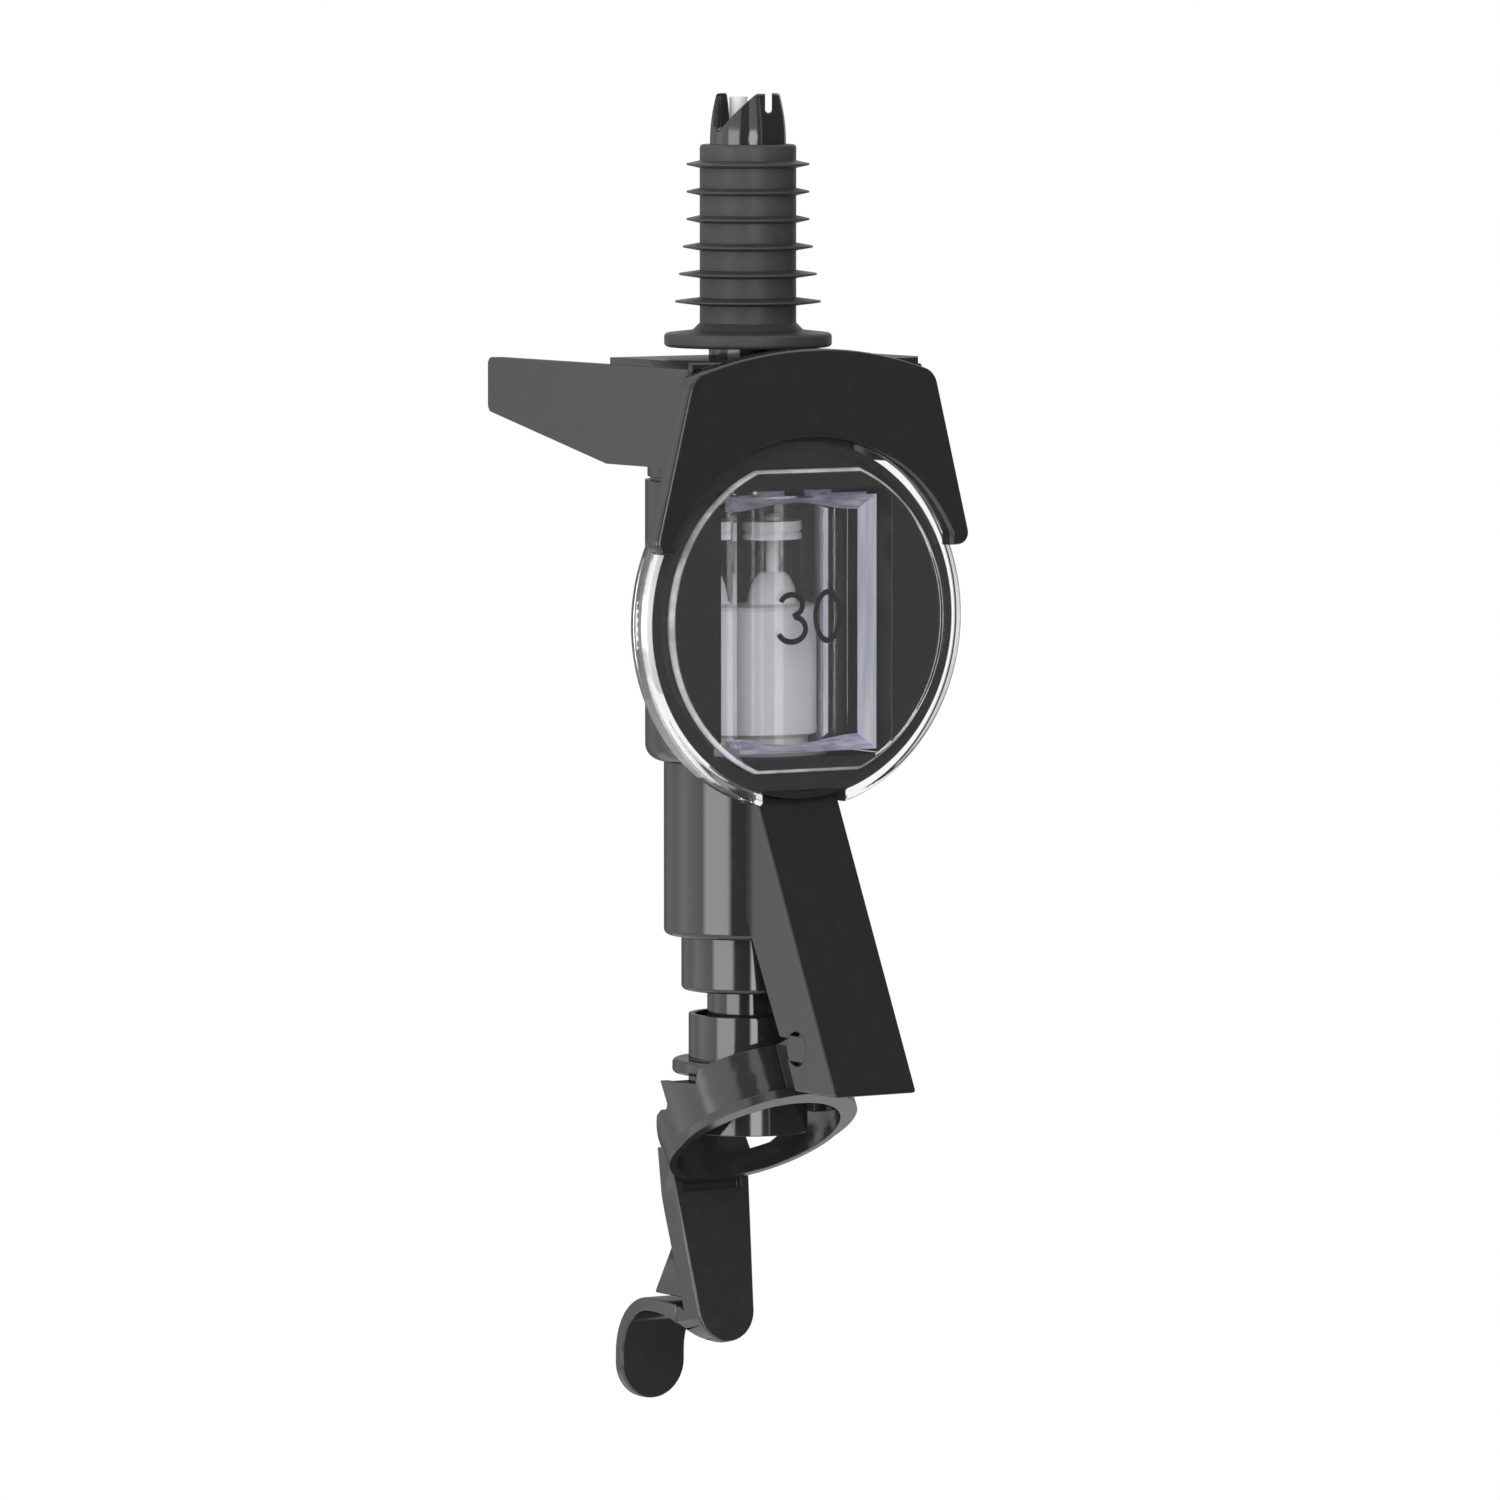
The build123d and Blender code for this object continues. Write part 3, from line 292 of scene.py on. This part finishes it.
def white_plastic():
    """Milky acetal with a soft sheen and faint flow lines."""
    f = new_finish("white_plastic")
    flow = f.noise(120.0, 4.0)
    return f.surface(
        Base_Color=f.mix(flow * 0.25, WHITE, (0.87, 0.88, 0.91)),
        Roughness=0.32 + flow * 0.1,
        IOR=1.48,
        Subsurface_Weight=0.15,
        Subsurface_Radius=(0.002, 0.002, 0.002),
        Normal=f.bump(f.noise(900.0, 3.0), 0.00002, 0.3),
    )


def add_painted_edge_highlight(f, glass):
    """Painted highlight: a pale opaque surface mixed into a clear pane on its sloping front
    edges, in uneven streaks.
    """
    slope = f.node("ShaderNodeTexCoord", out="Normal")
    facing = f.node("ShaderNodeSeparateXYZ", values={0: slope}, out=1)
    turned = f.ramp(1.0 - facing * facing, (0.10, 0.0), (0.30, 1.0))
    depth = f.node("ShaderNodeSeparateXYZ", values={0: f.place()}, out=1)
    ahead = f.node(
        "ShaderNodeMath", {"operation": "LESS_THAN"}, {0: depth, 1: PANE_EDGE_Y}
    )
    painted_light_streak = f.ramp(f.noise(150.0, 4.0), (0.36, 0.35), (0.66, 1.0))
    bright = f.node(
        "ShaderNodeBsdfPrincipled",
        values={"Base Color": (0.86, 0.87, 0.92), "Roughness": 0.12, "IOR": 1.49},
    )
    amount = turned * ahead * painted_light_streak * 0.75
    return f.node("ShaderNodeMixShader", values={0: amount, 1: glass, 2: bright})


def clear_plastic(name, tint, rough, wave_depth, clearness, with_painted_edge_highlight=False):
    """Clear plastic with the slow waves and faint haze of a moulded pane."""
    f = new_finish(name)
    flow = f.noise(60.0, 2.0)
    haze = f.ramp(f.noise(260.0, 5.0), (0.55, 0.0), (0.85, 1.0))
    glass = f.node(
        "ShaderNodeBsdfPrincipled",
        values={
            "Base Color": tint,
            "Roughness": rough + haze * 0.02,
            "IOR": 1.49,
            "Transmission Weight": clearness,
            "Normal": f.bump(flow, wave_depth, 1.0),
        },
    )
    # Painted highlight on the pane's sloping edges: pale opaque streaks over the glass
    if with_painted_edge_highlight:
        glass = add_painted_edge_highlight(f, glass)
    open_way = f.node("ShaderNodeBsdfTransparent", values={"Color": tint})
    shade_ray = f.node("ShaderNodeLightPath", out="Is Shadow Ray")
    both = f.node("ShaderNodeMixShader", values={0: shade_ray, 1: glass, 2: open_way})
    return f.show(both)


def cut_facet(name, dark, light, along):
    """Sloping facet of the clear block as an opaque surface, with painted light in streaks
    along it.
    """
    f = new_finish(name)
    stretched = f.node(
        "ShaderNodeVectorMath", {"operation": "MULTIPLY"}, {0: f.place(), 1: along}
    )
    painted_light_streak = f.ramp(f.noise(900.0, 4.0, stretched), (0.36, 0.0), (0.64, 1.0))
    fine = f.noise(2400.0, 3.0, stretched)
    return f.surface(
        Base_Color=f.mix(painted_light_streak, dark, light),
        Roughness=0.22 + fine * 0.2,
        IOR=1.49,
        Normal=f.bump(painted_light_streak, 0.00010, 0.5),
    )


def print_black():
    """Black pad-printed ink, a little uneven."""
    f = new_finish("print_black")
    wear = f.noise(2200.0, 4.0)
    return f.surface(
        Base_Color=f.mix(wear, (0.005, 0.005, 0.005), (0.014, 0.014, 0.014)),
        Roughness=0.45 + wear * 0.1,
        Normal=f.bump(wear, 0.00001, 0.3),
    )


def soft_rubber():
    """Grey seal rubber, slightly dusty."""
    f = new_finish("soft_seal")
    bloom = f.noise(300.0, 4.0)
    return f.surface(
        Base_Color=f.mix(bloom, (0.10, 0.10, 0.105), (0.17, 0.17, 0.175)),
        Roughness=0.5 + bloom * 0.15,
        Normal=f.bump(f.noise(4200.0, 2.0), 0.00004, 0.4),
    )


def spring_steel():
    """Bright drawn wire with fine lengthwise die lines."""
    f = new_finish("spring_steel")
    lines = f.noise(2600.0, 4.0)
    return f.surface(
        Base_Color=f.mix(lines, (0.50, 0.50, 0.49), (0.66, 0.65, 0.63)),
        Metallic=1.0,
        Roughness=0.22 + lines * 0.12,
        Normal=f.bump(lines, 0.00003, 0.3),
    )


FINISHES = {
    "cork_rubber": cork_rubber(),
    "black_gloss": black_plastic("black_gloss", BLACK, 0.06, 0.0000008),
    "black_lever": black_plastic("black_lever", BLACK_LEVER, 0.14, 0.0000016),
    "black_satin": black_plastic("black_satin", BLACK_HOOD, 0.13, 0.0000012),
    "white_plastic": white_plastic(),
    # The cover's pane gets a painted highlight along its sloping edges
    "clear_cover": clear_plastic(
        "clear_cover", (0.996, 0.996, 0.998), 0.015, 0.00002, 0.985, with_painted_edge_highlight=True
    ),
    "clear_tint": clear_plastic(
        "clear_tint", (0.991, 0.987, 0.999), 0.01, 0.00003, 0.985
    ),
    "soft_seal": soft_rubber(),
    # Top and bottom facets: the block's violet with painted light streaks
    "violet_facet_painted_light": cut_facet(
        "violet_facet_painted_light", (0.46, 0.42, 0.68), (0.94, 0.91, 1.00), (0.35, 1.0, 1.0)
    ),
    # Side facet: a painted reflection of the light, pale and streaked
    "facet_painted_reflection": cut_facet(
        "facet_painted_reflection", (0.72, 0.74, 0.92), (1.00, 1.00, 1.00), (1.0, 1.0, 0.06)
    ),
    "print_black": print_black(),
    "spring_steel": spring_steel(),
}
SLOT_OF = {row["node"]: row["material_slot"] for row in frame["record"]["subparts"]}
for name, node in nodes.items():
    node.data.materials.clear()
    node.data.materials.append(FINISHES[SLOT_OF[name]])
nodes["valve_seal"].data.materials[0] = FINISHES["white_plastic"]


def is_hard(edge):
    """Edge that shows as a crease; two broad faces need less of a turn for that."""
    turn = edge.calc_face_angle(0.0)
    broad = all(face.calc_area() > BROAD_FACE for face in edge.link_faces)
    return turn > SHARP or (broad and turn > SHARP_BETWEEN_BROAD)


def mark_hard_edges(form, width, chosen):
    """Marks chosen hard edges for rounding where there is room; the others stay sharp.

    An edge between rounded ones narrows the rounding that runs past it, so that the
    rounded strips never cross.
    """
    weight = form.edges.layers.float.new("bevel_weight_edge")
    hard = {edge for edge in form.edges if is_hard(edge)}
    rounded = {edge for edge in hard if edge.is_convex and chosen(edge)}
    for edge in hard:
        room = width if edge in rounded else 0.0
        for corner in edge.verts:
            for other in corner.link_edges:
                if other not in rounded:
                    room = min(room, ROOM_SHARE * other.calc_length())
        if room > LEAST_ROUND_SHARE * width:
            edge[weight] = room / width
        else:
            edge.smooth = False


def dressed(name, body, width, chosen, clamp=True, finish=None):
    """Copy of one solid with the chosen edges rounded; shown in place of the solid."""
    node = nodes[name]
    form = bmesh.new()
    form.from_mesh(node.data)
    bmesh.ops.remove_doubles(form, verts=form.verts, dist=WELD)
    bmesh.ops.dissolve_limit(
        form, angle_limit=FLAT_TURN, verts=form.verts, edges=form.edges
    )
    mark_hard_edges(form, width, chosen)
    mesh = bpy.data.meshes.new("dressed_" + name)
    form.to_mesh(mesh)
    form.free()
    mesh.shade_smooth()
    mesh.materials.append(FINISHES[finish or SLOT_OF[name]])
    piece = in_scene("dressed_" + name, mesh)
    round_over = piece.modifiers.new("rounded edges", "BEVEL")
    round_over.width = width
    round_over.segments = ROUND_STEPS
    round_over.limit_method = "WEIGHT"
    round_over.use_clamp_overlap = clamp
    even = piece.modifiers.new("even shading", "WEIGHTED_NORMAL")
    even.keep_sharp = True
    even.weight = FLAT_SIDES_LEAD
    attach(piece, body)
    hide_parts(name)


def edge_middle(edge):
    return (edge.verts[0].co + edge.verts[1].co) / 2


def any_edge(edge):
    return True


def face_edge(edge):
    """Edge of the arched face of the hood."""
    return any(face.normal.y < -FACES_FRONT for face in edge.link_faces)


def long_edge(edge):
    """Edge that runs along the leg, and not round its sockets."""
    return edge.calc_length() > LONG_EDGE


def blade_edge(edge):
    """Outline of the tongue and the ear, below the ring."""
    return edge_middle(edge).z < BLADE_TOP_Z


dressed("stopper", "body", 0.15 * MM, any_edge)
dressed("bracket_hood", "body", 0.9 * MM, face_edge, clamp=False)
dressed("chamber_head", "body", 0.3 * MM, any_edge)
dressed("front_leg", "body", 0.6 * MM, long_edge)
dressed("front_cover", "body", 0.35 * MM, any_edge, clamp=False)
dressed("lever", "lever", 0.45 * MM, blade_edge, clamp=False, finish="black_lever")
dressed("spout_cup", "spout", 0.2 * MM, any_edge)
dressed("inlet_tube", "body", 0.2 * MM, any_edge)


def facet_groove(name, stations, across):
    """Closed wedge that cuts one sloping facet; across turns (along, inset) into (x, z)."""
    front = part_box("measuring_chamber")[0][1]
    corners = []
    for along, depth_in in stations:
        rake = depth_in / FACET_DEPTH
        for ahead, inset in (
            (-FACET_START, -FACET_START * rake),
            (FACET_DEPTH, depth_in),
            (FACET_DEPTH, -FACET_CLEAR),
            (-FACET_START, -FACET_CLEAR),
        ):
            x, z = across(along, inset)
            corners.append((x, front + ahead, z))
    faces = []
    for i in range(len(stations) - 1):
        a = 4 * i
        for k in range(4):
            faces.append((a + k, a + (k + 1) % 4, a + 4 + (k + 1) % 4, a + 4 + k))
    last = len(corners) - 4
    faces.append((0, 3, 2, 1))
    faces.append((last, last + 1, last + 2, last + 3))
    mesh = bpy.data.meshes.new(name)
    mesh.from_pydata(corners, [], faces)
    form = bmesh.new()
    form.from_mesh(mesh)
    bmesh.ops.recalc_face_normals(form, faces=form.faces)
    form.to_mesh(mesh)
    form.free()
    return in_scene(name, mesh)


def arch_inset(x):
    """Depth of the top and bottom facets, shallower in the middle of the window."""
    place = min(1.0, abs(x - ARCH_MIDDLE_X) / ARCH_HALF_W)
    return FACET_INSET - ARCH_RISE * math.cos(place * math.pi / 2) ** 2


def faceted_chamber():
    """Clear chamber with sloping opaque facets round the block: violet with painted light
    streaks at top and bottom, a painted reflection on the side.
    """
    mesh = nodes["measuring_chamber"].data.copy()
    form = bmesh.new()
    form.from_mesh(mesh)
    bmesh.ops.remove_doubles(form, verts=form.verts, dist=WELD)
    form.to_mesh(mesh)
    form.free()
    mesh.name = "clear_chamber"
    mesh.materials.clear()
    mesh.materials.append(FINISHES["clear_tint"])
    piece = in_scene("clear_chamber", mesh)
    high = BLOCK_HALF_H
    wide = BLOCK_HALF_W
    length = wide + GROOVE_BEYOND - GROOVE_START_X
    places = [GROOVE_START_X + i * length / ARCH_STEPS for i in range(ARCH_STEPS + 1)]
    arch = [(x, arch_inset(x)) for x in places]
    upright = [(side * (high + GROOVE_BEYOND), FACET_INSET) for side in (-1, 1)]
    grooves = (
        # The facets are opaque: painted light streaks at top and bottom, a painted reflection
        # on the side
        ("top_groove", arch, "violet_facet_painted_light", lambda u, d: (u, BLOCK_MIDDLE_Z + high - d)),
        ("low_groove", arch, "violet_facet_painted_light", lambda u, d: (u, BLOCK_MIDDLE_Z - high + d)),
        ("side_groove", upright, "facet_painted_reflection", lambda u, d: (wide - d, BLOCK_MIDDLE_Z + u)),
    )
    for name, stations, finish, across in grooves:
        cutter = facet_groove(name, stations, across)
        cutter.data.materials.append(FINISHES[finish])
        cut = piece.modifiers.new(name, "BOOLEAN")
        cut.operation = "DIFFERENCE"
        cut.solver = "EXACT"
        cut.material_mode = "TRANSFER"
        cut.object = cutter
        depsgraph = bpy.context.evaluated_depsgraph_get()
        cut_mesh = bpy.data.meshes.new_from_object(piece.evaluated_get(depsgraph))
        piece.modifiers.clear()
        piece.data = cut_mesh
        bpy.data.objects.remove(cutter)
    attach(piece, "body")
    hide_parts("measuring_chamber")


def arc(middle_x, middle_z, half_w, half_h, first, last, steps):
    """Points on part of an ellipse, with the angle in degrees from the right."""
    points = []
    for i in range(steps + 1):
        a = math.radians(first + (last - first) * i / steps)
        points.append((middle_x + half_w * math.cos(a), middle_z + half_h * math.sin(a)))
    return points


def dose_number():
    """Plain number in thin round strokes, printed on the front of the clear block."""
    corners = []
    faces = []
    for stroke in (arc(*THREE_TOP) + arc(*THREE_FOOT), arc(*NOUGHT)):
        start = len(corners)
        for i, (x, z) in enumerate(stroke):
            before = stroke[max(i - 1, 0)]
            after = stroke[min(i + 1, len(stroke) - 1)]
            along = Vector((after[0] - before[0], after[1] - before[1])).normalized()
            for side in (-1, 1):
                for depth in (NUMBER_FRONT, NUMBER_BACK):
                    corners.append(
                        (
                            (x - side * along.y * NUMBER_STROKE / 2) * MM,
                            depth,
                            NUMBER_MIDDLE_Z + (z + side * along.x * NUMBER_STROKE / 2) * MM,
                        )
                    )
        for i in range(len(stroke) - 1):
            a = start + 4 * i
            b = a + 4
            for near, far in ((0, 2), (2, 3), (3, 1), (1, 0)):
                faces.append((a + near, a + far, b + far, b + near))
        last = start + 4 * (len(stroke) - 1)
        faces.append((start, start + 1, start + 3, start + 2))
        faces.append((last, last + 2, last + 3, last + 1))
    mesh = bpy.data.meshes.new("dose_number")
    mesh.from_pydata(corners, [], faces)
    mesh.materials.append(FINISHES["print_black"])
    made = in_scene("dose_number", mesh)
    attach(made, "body")


faceted_chamber()
dose_number()


def place_camera():
    """Puts the camera at the photograph's angle, aimed at the middle of the column."""
    out = Vector(
        (
            math.sin(VIEW_AZIMUTH) * math.cos(VIEW_ELEVATION),
            -math.cos(VIEW_AZIMUTH) * math.cos(VIEW_ELEVATION),
            math.sin(VIEW_ELEVATION),
        )
    )
    right = Vector((math.cos(VIEW_AZIMUTH), math.sin(VIEW_AZIMUTH), 0.0))
    aim = Vector((0.0, 0.0, AIM_Z))
    aim += right * ((IMAGE_SIDE / 2 - AXIS_PIXEL) / PIXELS_PER_M)
    lens = bpy.data.cameras.new("camera")
    lens.sensor_width = SENSOR_WIDTH
    lens.lens = VIEW_DISTANCE * PIXELS_PER_M / IMAGE_SIDE * SENSOR_WIDTH
    lens.clip_start = 0.1
    camera = in_scene("camera", lens)
    camera.location = aim + out * VIEW_DISTANCE
    camera.rotation_mode = "QUATERNION"
    camera.rotation_quaternion = (-out).to_track_quat("-Z", "Y")
    bpy.context.scene.camera = camera


def seen_plain(f):
    """1 for rays that show the backdrop as such: from the camera, gloss or glass."""
    camera_ray = f.node("ShaderNodeLightPath", out="Is Camera Ray")
    gloss_ray = f.node("ShaderNodeLightPath", out="Is Glossy Ray")
    glass_ray = f.node("ShaderNodeLightPath", out="Is Transmission Ray")
    return f.node(
        "ShaderNodeMath",
        {"operation": "ADD", "use_clamp": True},
        {0: camera_ray + gloss_ray, 1: glass_ray},
    )


def lit_world():
    """White to the eye, in gloss and in glass, and a dimmer even room in shade."""
    world = bpy.data.worlds.new("studio")
    bpy.context.scene.world = world
    f = Finish(world)
    white = f.node("ShaderNodeBackground", values={"Color": (1.0, 1.0, 1.0), "Strength": 1.0})
    room = f.node(
        "ShaderNodeBackground", values={"Color": (1.0, 1.0, 1.0), "Strength": ROOM_GLOW}
    )
    both = f.node("ShaderNodeMixShader", values={0: seen_plain(f), 1: room, 2: white})
    f.node("ShaderNodeOutputWorld", values={"Surface": both})


def floor():
    """Pale floor well below the hanging measure."""
    mesh = bpy.data.meshes.new("floor")
    corners = [
        (x * FLOOR_REACH, y * FLOOR_REACH, FLOOR_Z)
        for x, y in ((-1, -1), (1, -1), (1, 1), (-1, 1))
    ]
    mesh.from_pydata(corners, [], [(0, 1, 2, 3)])
    f = new_finish("floor")
    paint = f.node("ShaderNodeBsdfDiffuse", values={"Color": (0.8, 0.8, 0.8)})
    glow = f.node("ShaderNodeEmission", values={"Color": (1.0, 1.0, 1.0), "Strength": 1.0})
    both = f.node("ShaderNodeMixShader", values={0: seen_plain(f), 1: paint, 2: glow})
    mesh.materials.append(f.show(both))
    made = in_scene("floor", mesh)


def studio_card(name, corners, faces, tone):
    """Piece of the studio that only gloss and glass see; no tone means that it glows."""
    mesh = bpy.data.meshes.new(name)
    mesh.from_pydata([corner[:3] for corner in corners], [], faces)
    f = new_finish(name)
    if tone is None:
        level = mesh.attributes.new("glow", "FLOAT", "POINT")
        level.data.foreach_set("value", [corner[3] for corner in corners])
        glow = f.node("ShaderNodeAttribute", {"attribute_name": "glow"}, out="Fac")
        spread = f.node("ShaderNodeLightPath", out="Diffuse Depth")
        dimmed = f.node("ShaderNodeMath", {"operation": "MINIMUM"}, {0: spread, 1: 1.0})
        cloth = f.node(
            "ShaderNodeEmission", values={"Strength": glow * (1.0 - dimmed * 0.5)}
        )
    else:
        cloth = f.node("ShaderNodeBsdfDiffuse", values={"Color": (tone, tone, tone)})
    mesh.materials.append(f.show(cloth))
    made = in_scene(name, mesh)
    made.visible_camera = False
    made.visible_diffuse = False
    made.visible_shadow = False


def curved_wall(name, stops, rows, distance, tone=None):
    """Curved wall round the measure; stops give azimuth and glow, rows height and limit.

    The wall ends one step before its last stop.
    """
    corners = []
    for (first, start), (last, end) in zip(stops, stops[1:]):
        for i in range(CARD_STEPS):
            a = math.radians(first + (last - first) * i / CARD_STEPS)
            glow = start + (end - start) * i / CARD_STEPS
            for height, limit in rows:
                place = (distance * math.sin(a), -distance * math.cos(a), height)
                corners.append((*place, min(glow, limit)))
    tall = len(rows)
    faces = []
    for i in range(len(corners) // tall - 1):
        for k in range(tall - 1):
            a = i * tall + k
            faces.append((a, a + tall, a + tall + 1, a + 1))
    studio_card(name, corners, faces, tone)


def dark_floor():
    """Dark cloth on the floor to the front right."""
    first, last = DARK_FLOOR_SPAN
    corners = []
    for i in range(CARD_STEPS + 1):
        a = math.radians(first + (last - first) * i / CARD_STEPS)
        for reach in (DARK_FLOOR_NEAR, DARK_DISTANCE):
            corners.append((reach * math.sin(a), -reach * math.cos(a), DARK_FLOOR_Z))
    faces = [(2 * i, 2 * i + 1, 2 * i + 3, 2 * i + 2) for i in range(CARD_STEPS)]
    studio_card("dark_floor", corners, faces, DARK_CLOTH)


def softbox(name, azimuth, elevation, level):
    """Square lamp that faces the middle of the measure; azimuth as the camera's."""
    a = math.radians(azimuth)
    e = math.radians(elevation)
    out = Vector((math.sin(a) * math.cos(e), -math.cos(a) * math.cos(e), math.sin(e)))
    lamp = bpy.data.lights.new(name, "AREA")
    lamp.shape = "RECTANGLE"
    lamp.size = LAMP_SIDE
    lamp.size_y = LAMP_SIDE
    lamp.energy = level * math.pi * LAMP_SIDE * LAMP_SIDE
    made = in_scene(name, lamp)
    made.location = Vector((0.0, 0.0, LAMP_AIM_Z)) + out * LAMP_DISTANCE
    made.rotation_mode = "QUATERNION"
    made.rotation_quaternion = (-out).to_track_quat("-Z", "Y")
    made.visible_camera = False
    made.visible_transmission = False
    made.visible_glossy = False


place_camera()
lit_world()
floor()
curved_wall("light_wall", LIGHT_WALL, WALL_ROWS, LIGHT_WALL_DISTANCE)
curved_wall("dark_wall", DARK_WALL, DARK_ROWS, DARK_DISTANCE, DARK_CLOTH)
dark_floor()
softbox("left_lamp", azimuth=-100, elevation=25, level=1.0)
softbox("front_lamp", azimuth=-28, elevation=16, level=2.6)

bpy.context.scene.view_settings.view_transform = "Standard"
